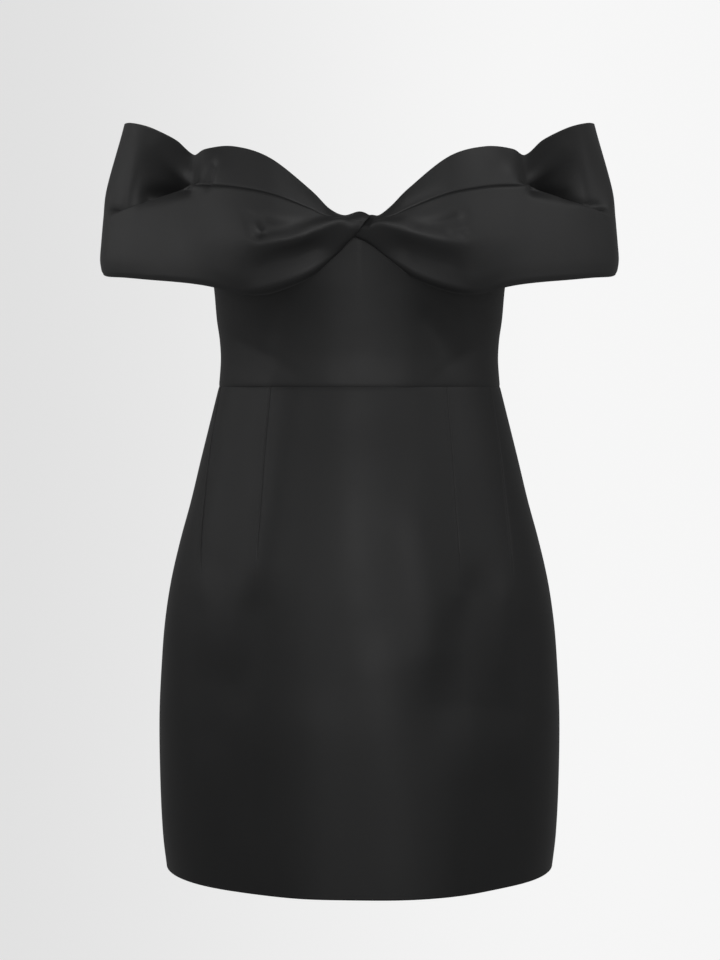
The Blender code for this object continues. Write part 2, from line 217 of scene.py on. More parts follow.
def cloth_sheet(name, columns, cut, wall_side, wall):
    """A cloth panel: a grid moved onto its columns of points, with a real wall and softly rounded edges."""
    across, up = len(columns), len(columns[0])
    cloth = bmesh.new()
    uv = cloth.loops.layers.uv.new("cloth")
    bmesh.ops.create_grid(cloth, x_segments=across - 1, y_segments=up - 1, size=0.5)
    for face in cloth.faces:
        for loop in face.loops:
            place = loop.vert.co
            loop[uv].uv = ((place.x + 0.5) * cut[0], (place.y + 0.5) * cut[1])
    for vertex in cloth.verts:
        column = round((vertex.co.x + 0.5) * (across - 1))
        row = round((vertex.co.y + 0.5) * (up - 1))
        vertex.co = columns[column][row] * MM
    cloth.normal_update()
    if sum(face.normal.xy.dot(face.calc_center_median().xy) for face in cloth.faces) < 0.0:
        bmesh.ops.reverse_faces(cloth, faces=cloth.faces[:])
    data = bpy.data.meshes.new(name)
    cloth.to_mesh(data)
    cloth.free()
    data.shade_smooth()
    piece = bpy.data.objects.new(name, data)
    bpy.context.scene.collection.objects.link(piece)
    solid = piece.modifiers.new("cloth wall", "SOLIDIFY")
    solid.thickness = wall * MM
    solid.offset = wall_side
    solid.material_offset = 1
    solid.material_offset_rim = 0
    edge = piece.modifiers.new("turned edges", "BEVEL")
    edge.width = EDGE_ROUND * MM
    edge.segments = 2
    edge.limit_method = "ANGLE"
    edge.angle_limit = math.radians(EDGE_ANGLE)
    return piece


def socket(group, name, kind, way, value=None):
    """Named input or output of a shader node group."""
    made = group.interface.new_socket(name=name, in_out=way, socket_type=kind)
    if value is not None:
        made.default_value = value


# The satin's weave. Slubs and clouds are noise, with its scale and its stretch along warp and weft.
WARP_THREADS, WEFT_SHARE, WEFT_SLANT = 2600.0, 0.2, 0.35
WARP_RELIEF, WEFT_RELIEF, SLUB_RELIEF = 0.5, 0.3, 0.6
SLUB_SCALE, SLUB_STRETCH, SLUB_TONE = 900.0, (0.04, 1.0, 1.0), 0.25
CLOUD_SCALE, CLOUD_STRETCH, CLOUD_TONE = 26.0, (1.0, 0.55, 1.0), 2.0
WEAVE_BUMP, WEAVE_DEPTH = 0.25, 0.00012
THREAD_ANISOTROPY = 0.35
SATIN_SHEEN, SHEEN_ROUGHNESS = 0.02, 0.4


def satin_group():
    """Black satin: fine warp and weft, slubs along the weft, and slow clouds in tone and lustre."""
    group = bpy.data.node_groups.new("Heavy satin", "ShaderNodeTree")
    socket(group, "Colour", "NodeSocketColor", "INPUT", (0.02, 0.02, 0.02, 1.0))
    socket(group, "Threads per metre", "NodeSocketFloat", "INPUT", WARP_THREADS)
    socket(group, "Thread depth", "NodeSocketFloat", "INPUT", 0.35)
    socket(group, "Clouding", "NodeSocketFloat", "INPUT", 0.12)
    socket(group, "Roughness", "NodeSocketFloat", "INPUT", 0.45)
    socket(group, "Colour", "NodeSocketColor", "OUTPUT")
    socket(group, "Roughness", "NodeSocketFloat", "OUTPUT")
    socket(group, "Height", "NodeSocketFloat", "OUTPUT")
    nodes, links = group.nodes, group.links
    given = nodes.new("NodeGroupInput")
    out = nodes.new("NodeGroupOutput")
    uv = nodes.new("ShaderNodeUVMap")
    uv.uv_map = "cloth"
    split = nodes.new("ShaderNodeSeparateXYZ")
    links.new(uv.outputs["UV"], split.inputs[0])

    def maths(operation, first, second=None):
        node = nodes.new("ShaderNodeMath")
        node.operation = operation
        for slot, value in enumerate((first, second)):
            if value is None:
                continue
            if isinstance(value, (int, float)):
                node.inputs[slot].default_value = value
            else:
                links.new(value, node.inputs[slot])
        return node.outputs[0]

    def noise(scale, detail, stretch):
        place = nodes.new("ShaderNodeMapping")
        place.inputs["Scale"].default_value = stretch
        links.new(uv.outputs["UV"], place.inputs["Vector"])
        node = nodes.new("ShaderNodeTexNoise")
        node.inputs["Scale"].default_value = scale
        node.inputs["Detail"].default_value = detail
        links.new(place.outputs[0], node.inputs["Vector"])
        return node.outputs["Fac"]

    threads = given.outputs["Threads per metre"]
    turn = maths("MULTIPLY", threads, 2.0 * math.pi)
    warp = maths("SINE", maths("MULTIPLY", split.outputs["X"], turn))
    slant = maths("ADD", split.outputs["X"], maths("MULTIPLY", split.outputs["Y"], WEFT_SLANT))
    weft = maths("SINE", maths("MULTIPLY", slant, maths("MULTIPLY", turn, WEFT_SHARE)))
    slub = noise(SLUB_SCALE, 2.0, SLUB_STRETCH)
    cloud = noise(CLOUD_SCALE, 3.0, CLOUD_STRETCH)
    weave = maths("ADD", maths("MULTIPLY", warp, WARP_RELIEF), maths("MULTIPLY", weft, WEFT_RELIEF))
    height = maths("ADD", maths("MULTIPLY", weave, given.outputs["Thread depth"]),
                   maths("MULTIPLY", slub, SLUB_RELIEF))
    links.new(height, out.inputs["Height"])
    swing = maths("MULTIPLY", maths("SUBTRACT", cloud, 0.5), given.outputs["Clouding"])
    fleck = maths("MULTIPLY", maths("SUBTRACT", slub, 0.5), SLUB_TONE)
    tone = maths("ADD", maths("ADD", 1.0, maths("MULTIPLY", swing, CLOUD_TONE)), fleck)
    tint = nodes.new("ShaderNodeVectorMath")
    tint.operation = "SCALE"
    links.new(given.outputs["Colour"], tint.inputs[0])
    links.new(tone, tint.inputs["Scale"])
    links.new(tint.outputs[0], out.inputs["Colour"])
    links.new(maths("ADD", given.outputs["Roughness"], swing), out.inputs["Roughness"])
    return group


SATIN = satin_group()


def satin(name, colour, roughness, lustre):
    """Material of one cut piece of satin."""
    material = bpy.data.materials.new(name)
    material.use_nodes = True
    nodes, links = material.node_tree.nodes, material.node_tree.links
    shader = nodes["Principled BSDF"]
    weave = nodes.new("ShaderNodeGroup")
    weave.node_tree = SATIN
    weave.inputs["Colour"].default_value = (*colour, 1.0)
    weave.inputs["Roughness"].default_value = roughness
    bump = nodes.new("ShaderNodeBump")
    bump.inputs["Strength"].default_value = WEAVE_BUMP
    bump.inputs["Distance"].default_value = WEAVE_DEPTH
    links.new(weave.outputs["Colour"], shader.inputs["Base Color"])
    links.new(weave.outputs["Roughness"], shader.inputs["Roughness"])
    links.new(weave.outputs["Height"], bump.inputs["Height"])
    links.new(bump.outputs["Normal"], shader.inputs["Normal"])
    shader.inputs["Specular IOR Level"].default_value = lustre
    shader.inputs["Anisotropic"].default_value = THREAD_ANISOTROPY
    shader.inputs["Sheen Weight"].default_value = SATIN_SHEEN
    shader.inputs["Sheen Roughness"].default_value = SHEEN_ROUGHNESS
    return material


SATIN_REVERSE, REVERSE_ROUGHNESS, REVERSE_LUSTRE = (0.012, 0.012, 0.013), 0.62, 0.25
satin_reverse = satin("satin_reverse", SATIN_REVERSE, REVERSE_ROUGHNESS, REVERSE_LUSTRE)


def dress_piece(piece, node, face):
    """Give a finished panel its two cloth sides and its place in the dress."""
    piece.data.materials.append(face)
    piece.data.materials.append(satin_reverse)
    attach(piece, "root")
    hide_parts(node)


def bodice_panel(name, start, end, grid, top_edge, creases, cut):
    """Bodice panel between the seams at two angles, from the waist to its shaped top."""
    columns_across, rows_up = grid
    columns = []
    for share in spaced(0.0, 1.0, columns_across, [step * MM / cut[0] for step in SEAM_STEPS]):
        angle = mix(start, end, share)
        top = table_at(top_edge, abs(angle))[0]
        line = []
        for height in spaced(0.0, top, rows_up, EDGE_STEPS):
            ring = table_at(BODICE_RINGS, height)
            place = ring_point(ring, height, angle, 0.0, True)
            rise = crease_height(creases, place.x, place.z)
            rise -= panel_dip(height, angle, start, end, ring[0])
            line.append(ring_point(ring, height, angle, rise, True))
        columns.append(line)
    return cloth_sheet(name, turned_in(columns), cut, WALL_INSIDE, CLOTH_WALL)


# Cut of the cloth, as width and length in metres, its flat area, and the grid that it is drawn with.
BODICE_FRONT_CUT, BODICE_FRONT_AREA = (0.44, 0.205), 0.066
BODICE_FRONT_GRID = (170, 76)
SATIN_BODICE, BODICE_LUSTRE = (0.0080, 0.0081, 0.0083), 0.41
# The back is a shade less smooth than the front.
FRONT_ROUGHNESS, BACK_ROUGHNESS = 0.50, 0.51
satin_bodice = satin("satin_bodice", SATIN_BODICE, FRONT_ROUGHNESS, BODICE_LUSTRE)
bodice_front = bodice_panel("bodice_front_satin", -90.0, 90.0, BODICE_FRONT_GRID, BODICE_FRONT_TOP,
                            BODICE_CREASES, BODICE_FRONT_CUT)
dress_piece(bodice_front, "bodice_front", satin_bodice)

# Bodice back
# Two plain panels that meet at centre back, where the closure is hidden in the seam. The top edge is
# straight, turned under, and drops a little to the underarm.
BODICE_BACK_TOP = (
    (90.0, UNDERARM), (105.0, 143.0), (120.0, 148.5), (140.0, BACK_TOP), (160.0, BACK_TOP),
    (180.0, BACK_TOP),
)
BODICE_BACK_CUT, BODICE_BACK_AREA = (0.205, 0.155), 0.0295
BODICE_BACK_GRID = (84, 60)
BACK_CREASES_RIGHT = (
    ((52.0, 60.0), (64.0, 16.0), 2.0, 9.0, 8.0, -0.6, -0.6, 12.0),
    ((24.0, 44.0), (20.0, 8.0), 1.0, 7.0, 6.0, -0.4, -0.5, 10.0),
    ((96.0, 30.0), (58.0, 12.0), 1.0, 5.0, 5.0, -0.5, -0.3, 10.0),
)
BACK_CREASES_LEFT = (
    ((-56.0, 66.0), (-62.0, 14.0), -2.0, 9.0, 8.0, -0.7, -0.5, 12.0),
    ((-28.0, 40.0), (-22.0, 10.0), 1.0, 7.0, 6.0, -0.4, -0.4, 10.0),
    ((-98.0, 34.0), (-66.0, 10.0), 2.0, 5.0, 5.0, -0.5, -0.4, 10.0),
)
satin_bodice_back = satin("satin_bodice_back", SATIN_BODICE, BACK_ROUGHNESS, BODICE_LUSTRE)
for name, turn, creases in (("left", -1.0, BACK_CREASES_LEFT), ("right", 1.0, BACK_CREASES_RIGHT)):
    panel = bodice_panel("bodice_back_" + name + "_satin", 90.0 * turn, 180.0 * turn, BODICE_BACK_GRID,
                         BODICE_BACK_TOP, creases, BODICE_BACK_CUT)
    dress_piece(panel, "bodice_back_" + name, satin_bodice_back)

# Skirt front
# One panel of the same satin with four waist darts. It swells over the hip and is drawn in again to a level
# hem, whose edge is turned up inside. Its waist allowance goes up behind the bodice.
SKIRT_WALL = 1.0
# Rings as on the bodice.
SKIRT_RINGS = (
    (-440.0, 177.3, 129.0, 135.0, 2.0),
    (-410.0, 180.7, 128.5, 135.5, 2.0),
    (-362.0, 182.9, 127.5, 136.0, 2.0),
    (-300.0, 183.4, 126.0, 137.0, 2.0),
    (-251.0, 181.0, 123.5, 137.5, 2.0),
    (-214.0, 177.9, 121.5, 137.5, 2.0),
    (-177.0, 172.2, 119.0, 136.0, 2.0),
    (-140.0, 163.6, 115.0, 132.0, 2.0),
    (-104.0, 153.7, 110.0, 124.0, 2.0),
    (-67.0, 144.7, 104.0, 112.0, 2.0),
    (-30.0, 135.4, 97.0, 98.0, 2.0),
    (0.0, 127.8, 92.0, 88.0, 2.0),
)
# The hem is level with the lowest edge of the solids.
HEM = round(cad_box[0][2] / MM, 1)
# The hem's fold is a half round of this radius, and the cloth goes up inside it and away from the outside.
HEM_FOLD, HEM_DEPTH, HEM_AWAY = 1.3, 30.0, 0.1
FOLD_STEPS, HEM_STEPS = 6, 5
# The waist allowance: how high it goes up, where it starts above the seam, and how far it lies inside.
WAIST_TURN, WAIST_START, WAIST_INWARD = 6.0, 0.3, 2.2
# Darts: angle at the waist, angle at the tip and height of the tip.
SKIRT_FRONT_DARTS = (
    (-77.6, -54.3, -181.0),
    (-37.4, -31.0, -178.0),
    (36.7, 30.9, -169.0),
    (66.6, 52.0, -173.0),
)
# Part of a dart's length over which its tip dies away.
DART_END = (0.7, 1.0)
# Across a dart: distance from its stitching and rise. The intake lies under the raised side.
DART_PROFILE = (
    (-2.8, 0.0), (-1.5, 0.42), (-0.6, 0.3), (0.0, -0.6), (0.5, -0.25), (1.6, -0.06), (3.0, 0.0),
)
SKIRT_CREASES = (
    ((-8.0, -20.0), (-2.0, -170.0), 0.0, 22.0, 22.0, 1.4, 1.6, 40.0),
    ((40.0, -30.0), (38.0, -120.0), 0.0, 16.0, 16.0, -0.8, -0.8, 30.0),
    ((48.0, -120.0), (66.0, -225.0), 4.0, 18.0, 22.0, 1.3, 1.8, 26.0),
    ((20.0, -250.0), (44.0, -440.0), 0.0, 32.0, 38.0, 2.8, 3.2, 50.0),
    ((98.0, -182.0), (80.0, -270.0), -4.0, 14.0, 24.0, -2.4, -3.0, 26.0),
    ((126.0, -186.0), (122.0, -236.0), 0.0, 10.0, 12.0, 1.2, 0.6, 18.0),
    ((150.0, -220.0), (138.0, -280.0), 2.0, 14.0, 22.0, -1.8, -1.6, 22.0),
    ((-62.0, -20.0), (-82.0, -150.0), 0.0, 16.0, 18.0, 1.6, 2.0, 30.0),
    ((-100.0, -20.0), (-128.0, -150.0), 0.0, 16.0, 18.0, -1.6, -2.0, 30.0),
    ((-92.0, -198.0), (-104.0, -260.0), 3.0, 12.0, 14.0, -1.2, -1.0, 20.0),
    ((-146.0, -200.0), (-138.0, -300.0), -3.0, 12.0, 16.0, -1.2, -1.0, 24.0),
    ((-120.0, -260.0), (-104.0, -440.0), 4.0, 26.0, 30.0, -1.6, -1.4, 30.0),
    ((128.0, -360.0), (124.0, -440.0), 2.0, 22.0, 26.0, -1.6, -2.0, 26.0),
    ((84.0, -340.0), (86.0, -440.0), 0.0, 30.0, 34.0, 2.4, 2.0, 40.0),
    ((-40.0, -300.0), (-46.0, -440.0), 1.0, 24.0, 26.0, 1.0, 1.4, 30.0),
)


def dart_at(dart, height):
    """Angle of a dart at a height and how much of it is left there."""
    waist_angle, tip_angle, tip = dart
    share = min(1.0, height / tip)
    return mix(waist_angle, tip_angle, share), 1.0 - smooth_step(*DART_END, share)


def skirt_heights(count):
    """Heights from the waist allowance to the hem, round its fold and up inside: height and how far in."""
    allowance = [(WAIST_TURN, WAIST_INWARD), (WAIST_START, WAIST_INWARD)]
    fold_top = HEM + HEM_FOLD
    outside = [(height, 0.0) for height in spaced(0.0, fold_top, count, [-step for step in EDGE_STEPS])]
    fold = []
    for step in range(1, FOLD_STEPS + 1):
        turn = math.pi * step / FOLD_STEPS
        fold.append((HEM + HEM_FOLD * (1.0 - math.sin(turn)), HEM_FOLD * (1.0 - math.cos(turn))))
    inside = [(fold_top + HEM_DEPTH * step / HEM_STEPS, 2.0 * HEM_FOLD + HEM_AWAY * step)
              for step in range(1, HEM_STEPS + 1)]
    return allowance + outside + fold + inside


def skirt_line(start, end, cut, ring, height, darts, spread):
    """Angle and rise of each column at one height, closer together at both seams and across each dart."""
    near, next_to = (step * MM / cut[0] for step in SEAM_STEPS[1:3])
    per_mm = math.degrees(1.0 / ring[0]) * math.copysign(1.0, end - start)
    stops = [(start, 0.0), (mix(start, end, near), 0.0), (mix(start, end, next_to), 0.0)]
    counts = [1, 1]
    for dart, gap in zip(darts, spread):
        angle, left = dart_at(dart, height)
        stops += [(angle + away * per_mm, rise * left) for away, rise in DART_PROFILE]
        counts += [gap] + [1] * (len(DART_PROFILE) - 1)
    stops += [(mix(end, start, next_to), 0.0), (mix(end, start, near), 0.0), (end, 0.0)]
    counts += [spread[-1], 1, 1]
    line = [stops[0]]
    for (low, _), (high, rise), count in zip(stops, stops[1:], counts):
        line += [(mix(low, high, step / count), rise if step == count else 0.0)
                 for step in range(1, count + 1)]
    return line


def skirt_panel(name, start, end, darts, grid, creases, cut):
    """Skirt panel whose columns follow its darts; the grid has the columns between darts and the rows."""
    spread, rows_down = grid
    rows = []
    for height, inward in skirt_heights(rows_down):
        ring = table_at(SKIRT_RINGS, height)
        row = []
        for angle, rise in skirt_line(start, end, cut, ring, height, darts, spread):
            place = ring_point(ring, height, angle, 0.0, False)
            relief = crease_height(creases, place.x, place.z)
            if inward == 0.0:
                relief += rise
            grow = relief - inward - panel_dip(-height, angle, start, end, ring[0])
            row.append(ring_point(ring, height, angle, grow, False))
        rows.append(row)
    columns = [list(column) for column in zip(*rows)]
    return cloth_sheet(name, turned_in(columns), cut, WALL_INSIDE, SKIRT_WALL)


SKIRT_FRONT_CUT, SKIRT_FRONT_AREA = (0.50, 0.47), 0.215
SKIRT_FRONT_GRID = ((24, 30, 56, 30, 24), 190)
SATIN_SKIRT, SKIRT_LUSTRE = (0.0076, 0.0077, 0.0080), 0.40
satin_skirt = satin("satin_skirt", SATIN_SKIRT, FRONT_ROUGHNESS, SKIRT_LUSTRE)
skirt_front = skirt_panel("skirt_front_satin", -90.0, 90.0, SKIRT_FRONT_DARTS, SKIRT_FRONT_GRID,
                          SKIRT_CREASES, SKIRT_FRONT_CUT)
dress_piece(skirt_front, "skirt_front", satin_skirt)

# Skirt back
# Two panels with two darts each, joined down the centre back. The hem runs on level from the front.
SKIRT_BACK_DARTS = (
    (128.0, 134.0, -118.0),
    (150.0, 154.0, -135.0),
)
SKIRT_BACK_CREASES_RIGHT = (
    ((20.0, -20.0), (26.0, -110.0), 2.0, 10.0, 14.0, -0.8, -0.7, 20.0),
    ((84.0, -170.0), (96.0, -330.0), 4.0, 22.0, 26.0, -1.4, -1.1, 36.0),
    ((40.0, -220.0), (36.0, -420.0), -3.0, 26.0, 30.0, 1.2, 1.0, 36.0),
    ((140.0, -200.0), (132.0, -330.0), 2.0, 16.0, 20.0, -1.0, -0.9, 30.0),
)
SKIRT_BACK_CREASES_LEFT = (
    ((-22.0, -16.0), (-30.0, -96.0), -1.0, 10.0, 14.0, -0.7, -0.8, 20.0),
    ((-78.0, -160.0), (-92.0, -300.0), -5.0, 20.0, 26.0, -1.3, -1.2, 36.0),
    ((-44.0, -240.0), (-40.0, -430.0), 3.0, 28.0, 30.0, 1.1, 0.9, 36.0),
    ((-136.0, -220.0), (-140.0, -340.0), -2.0, 16.0, 22.0, -1.0, -0.8, 30.0),
)
SKIRT_BACK_CUT, SKIRT_BACK_AREA = (0.255, 0.47), 0.11
SKIRT_BACK_GRID = ((36, 20, 28), 150)
satin_skirt_back = satin("satin_skirt_back", SATIN_SKIRT, BACK_ROUGHNESS, SKIRT_LUSTRE)
for name, turn, creases in (("left", -1.0, SKIRT_BACK_CREASES_LEFT),
                            ("right", 1.0, SKIRT_BACK_CREASES_RIGHT)):
    darts = [(waist * turn, tip * turn, height) for waist, tip, height in SKIRT_BACK_DARTS]
    panel = skirt_panel("skirt_back_" + name + "_satin", 90.0 * turn, 180.0 * turn, darts, SKIRT_BACK_GRID,
                        creases, SKIRT_BACK_CUT)
    dress_piece(panel, "skirt_back_" + name, satin_skirt_back)

# Drape and sleeves
# A wide folded length of satin on each side: twisted at centre front, gathered into a roll under the bust,
# tucked along a line above it and let out into a broad band that goes round the arm to the back bodice.
DRAPE_CLEARANCE = 0.9
# Sections from the twist to the back, each as distance from centre front, depth and height of six places:
# lower edge, underside, crest of the roll, tuck line, hollow above it and top edge. Rows of the grid are
# counted by the keys of these places.
PLACE_KEYS = (0.0, 0.5, 1.0, 2.0, 2.4, 3.0)
TUCK_KEY = 2.0
# Places of a section that lie below the tuck line and above it, with it in both, and where its x and y are.
BELOW_TUCK, ABOVE_TUCK = slice(0, 4), slice(3, 6)
TUCK_X, TUCK_Y = 9, 10
TWIST_SECTIONS_LEFT = (
    ((5.0, -116.5, 129.0), (3.2, -118.6, 131.4), (0.0, -120.5, 134.6),
     (-4.0, -120.0, 139.8), (-6.6, -118.6, 142.2), (-9.4, -115.8, 144.4)),
    ((12.0, -112.5, 122.0), (11.0, -117.4, 125.4), (7.6, -122.8, 134.8),
     (2.6, -122.0, 140.8), (1.4, -120.0, 143.8), (-0.4, -115.8, 147.8)),
    ((22.0, -109.6, 111.6), (20.9, -115.2, 121.0), (17.6, -124.6, 138.0),
     (14.6, -122.0, 142.4), (13.7, -119.8, 143.4), (13.2, -115.8, 144.4)),
    ((38.0, -109.0, 96.6), (37.2, -113.6, 116.5), (34.0, -125.4, 133.4),
     (28.0, -121.0, 144.8), (27.2, -119.2, 147.6), (26.4, -116.0, 150.8)),
    ((54.4, -107.5, 87.9), (53.8, -112.8, 111.0), (52.0, -126.2, 127.2),
     (43.4, -120.6, 151.5), (42.8, -118.6, 158.6), (43.0, -114.6, 167.8)),
    ((80.0, -102.5, 79.8), (80.0, -109.8, 105.0), (78.0, -122.0, 123.8),
     (74.0, -117.0, 163.0), (74.6, -113.6, 176.0), (76.7, -107.5, 195.0)),
)
TWIST_SECTIONS_RIGHT = (
    ((-10.0, -110.5, 131.0), (-8.7, -111.8, 133.2), (-7.0, -112.5, 136.0),
     (-4.0, -112.3, 139.8), (-3.0, -111.6, 141.6), (-1.0, -110.4, 144.2)),
    ((6.0, -108.6, 124.6), (6.3, -112.6, 127.0), (7.2, -116.6, 134.4),
     (8.2, -115.6, 139.6), (8.9, -114.4, 142.2), (10.0, -112.0, 145.4)),
    ((21.0, -108.4, 113.0), (20.0, -113.6, 121.0), (18.8, -122.6, 136.6),
     (17.0, -119.4, 141.6), (16.8, -117.8, 143.2), (17.4, -114.8, 144.8)),
    ((37.5, -108.5, 98.8), (36.9, -113.6, 117.5), (34.6, -125.0, 133.4),
     (29.4, -120.4, 145.0), (28.6, -118.4, 148.8), (28.0, -115.0, 153.4)),
    ((54.0, -107.5, 89.8), (53.4, -113.4, 110.0), (52.0, -126.0, 129.6),
     (44.4, -120.4, 152.0), (43.8, -118.2, 159.6), (43.8, -114.2, 169.6)),
    ((80.0, -102.5, 81.6), (80.0, -109.8, 102.0), (78.4, -122.0, 124.6),
     (74.4, -117.0, 163.4), (75.0, -113.6, 176.8), (76.7, -107.5, 196.2)),
)
SLEEVE_SECTIONS = (
    ((103.0, -99.0, 80.4), (103.0, -106.0, 97.0), (102.0, -112.0, 127.0),
     (107.0, -103.8, 170.4), (107.4, -99.0, 186.0), (107.0, -92.0, 206.0)),
    ((127.0, -93.0, 86.2), (127.5, -96.5, 107.0), (128.0, -97.5, 131.0),
     (133.0, -89.2, 173.2), (133.0, -84.5, 187.0), (132.0, -77.0, 205.6)),
    ((144.0, -86.5, 89.2), (144.2, -88.5, 108.5), (144.6, -88.0, 132.0),
     (147.0, -80.0, 174.0), (146.8, -59.0, 171.0), (145.6, -66.0, 202.4)),
    ((161.5, -76.5, 91.4), (161.8, -78.0, 110.0), (161.8, -77.5, 131.5),
     (161.5, -72.0, 168.8), (160.6, -32.0, 164.5), (160.0, -61.0, 215.4)),
    ((184.0, -61.5, 93.8), (184.4, -63.0, 111.0), (184.0, -62.5, 130.5),
     (183.0, -58.5, 162.6), (184.0, -23.0, 160.0), (182.0, -50.0, 227.2)),
    ((207.0, -43.0, 96.6), (207.6, -44.5, 112.0), (206.6, -44.0, 129.5),
     (204.0, -41.5, 157.2), (205.0, -25.0, 158.0), (199.0, -34.0, 233.4)),
    ((226.0, -22.0, 98.8), (226.8, -23.5, 112.0), (225.8, -23.5, 129.0),
     (222.5, -22.5, 151.4), (221.0, -15.0, 168.0), (208.0, -15.0, 235.6)),
    ((232.4, 0.0, 103.2), (234.0, -0.5, 114.5), (232.9, -1.0, 129.0),
     (230.9, -1.0, 150.5), (227.6, 0.0, 178.5), (211.5, 3.0, 235.6)),
    ((231.0, 20.0, 107.4), (232.0, 20.8, 118.4), (231.4, 21.0, 131.0),
     (229.0, 21.0, 150.0), (225.2, 20.0, 177.0), (209.0, 18.0, 234.2)),
    ((214.0, 40.0, 109.0), (214.3, 41.6, 119.6), (213.6, 42.0, 131.0),
     (211.0, 42.0, 150.0), (206.2, 40.0, 176.0), (194.4, 35.0, 228.4)),
    ((181.5, 56.0, 106.6), (181.6, 58.6, 117.4), (181.2, 59.4, 129.0),
     (179.0, 59.0, 147.0), (174.4, 57.4, 167.5), (164.0, 53.0, 207.0)),
    ((145.0, 62.0, 101.4), (145.0, 65.4, 110.6), (145.0, 67.5, 120.0),
     (144.0, 68.5, 138.0), (140.8, 67.3, 151.8), (134.0, 64.0, 176.0)),
    ((116.0, 61.0, 96.5), (116.0, 64.0, 104.6), (116.0, 66.5, 113.0),
     (115.0, 68.5, 129.0), (113.0, 68.3, 139.3), (109.0, 67.0, 157.0)),
    ((94.0, 57.0, 93.0), (94.0, 58.3, 100.6), (94.0, 59.5, 108.5),
     (94.0, 62.0, 124.0), (93.3, 63.2, 133.8), (92.0, 65.0, 150.5)),
)
# Folds are written as creases are, with x as the distance from centre front.
FRONT_FOLDS_LEFT = (
    ((40.0, 141.0), (78.0, 136.0), -3.0, 6.0, 8.0, -2.0, -3.2, 8.0),
    ((66.0, 117.0), (38.0, 121.0), 0.0, 7.0, 6.0, -1.4, -1.0, 10.0),
    ((92.0, 141.0), (86.0, 131.0), 0.0, 4.8, 5.2, -1.8, -3.2, 6.0),
    ((82.0, 129.4), (60.0, 131.0), -0.5, 4.4, 5.0, -1.5, -0.6, 6.0),
    ((151.0, 182.0), (176.0, 212.0), -1.0, 4.0, 10.0, 3.4, 1.6, 9.0),
    ((148.0, 181.0), (146.8, 203.0), 0.0, 6.0, 8.0, -2.0, -2.6, 7.0),
    ((125.4, 188.0), (128.6, 177.0), 0.5, 3.2, 3.6, -2.6, -3.2, 6.0),
    ((152.0, 171.0), (190.0, 169.0), 0.0, 5.0, 9.0, -6.0, -4.0, 7.0),
)
FRONT_FOLDS_RIGHT = (
    ((48.0, 138.0), (82.0, 141.0), -3.0, 6.0, 8.0, -2.0, -3.2, 8.0),
    ((76.0, 112.0), (44.0, 121.0), 0.0, 8.0, 6.0, -1.4, -0.8, 10.0),
    ((80.0, 131.0), (88.0, 130.0), 0.0, 4.0, 4.2, -1.6, -1.8, 5.0),
    ((42.0, 154.5), (68.0, 165.5), 0.0, 4.4, 4.4, -0.8, -0.7, 7.0),
    ((151.0, 182.0), (178.0, 208.0), -1.0, 4.0, 10.0, 3.2, 1.6, 9.0),
    ((148.0, 181.0), (143.0, 203.0), 0.0, 6.0, 8.0, -1.8, -2.6, 7.0),
    ((184.0, 164.5), (212.0, 161.5), -1.0, 3.0, 3.4, -2.2, -2.2, 7.0),
    ((152.0, 171.0), (184.0, 168.0), 0.0, 5.0, 7.0, -6.0, -3.0, 6.0),
)
BACK_FOLDS = (
    ((96.0, 138.0), (168.0, 178.0), 3.0, 5.0, 10.0, -2.5, -5.0, 14.0),
    ((96.0, 126.0), (190.0, 150.0), 4.0, 5.0, 11.0, 2.5, 4.0, 16.0),
    ((97.0, 114.0), (176.0, 126.0), 3.0, 5.0, 10.0, -2.0, -4.0, 14.0),
)
# Depths over which the front folds end and the back folds begin.
FRONT_FADE, BACK_FADE = (-22.0, -2.0), (12.0, 34.0)
# The tuck line's groove, its width in keys, and the distances over which it begins and ends.
TUCK_GROOVE, TUCK_WIDTH = 1.2, 0.055
TUCK_START, TUCK_END = (14.0, 30.0), (144.0, 152.0)
# How far the lower edge turns under on the roll and on the sleeve, where the one becomes the other, and how
# many keys the turn takes.
ROLL_TURN, SLEEVE_TURN = 4.4, 1.0
ROLL_END = (78.0, 108.0)
RIM_WIDTH = 0.14
# Rows of the grid: at the lower edge, on the band below the tuck line, at that line, above it, at the top.
LOWER_ROWS = (0.0, 0.01, 0.022, 0.036)
BAND_SPAN, BAND_ROWS = (0.05, 1.94), 56
TUCK_ROWS = (1.955, 1.97, 1.98, 1.988, 1.994, 2.0, 2.006, 2.014, 2.024, 2.036, 2.048)
FLAP_SPAN, FLAP_ROWS = (2.055, 2.955), 30
TOP_ROWS = (2.975, 2.99, 3.0)
DRAPE_COLUMNS = 270
# Distance between the places that a section's direction is taken from, in sections.
SECTION_REACH = 0.2


def body_depth(x, height, front):
    """Depth of the bodice's outer face at a place in front or back view, or None beside the body."""
    half_width, front_depth, back_depth, squareness = table_at(BODICE_RINGS, height)
    share = abs(x) / half_width
    if share >= 1.0:
        return None
    reach = (1.0 - share ** squareness) ** (1.0 / squareness)
    if front:
        return -front_depth * reach - cup_rise(x, height) * min(1.0, CUP_FADE * reach)
    return back_depth * reach


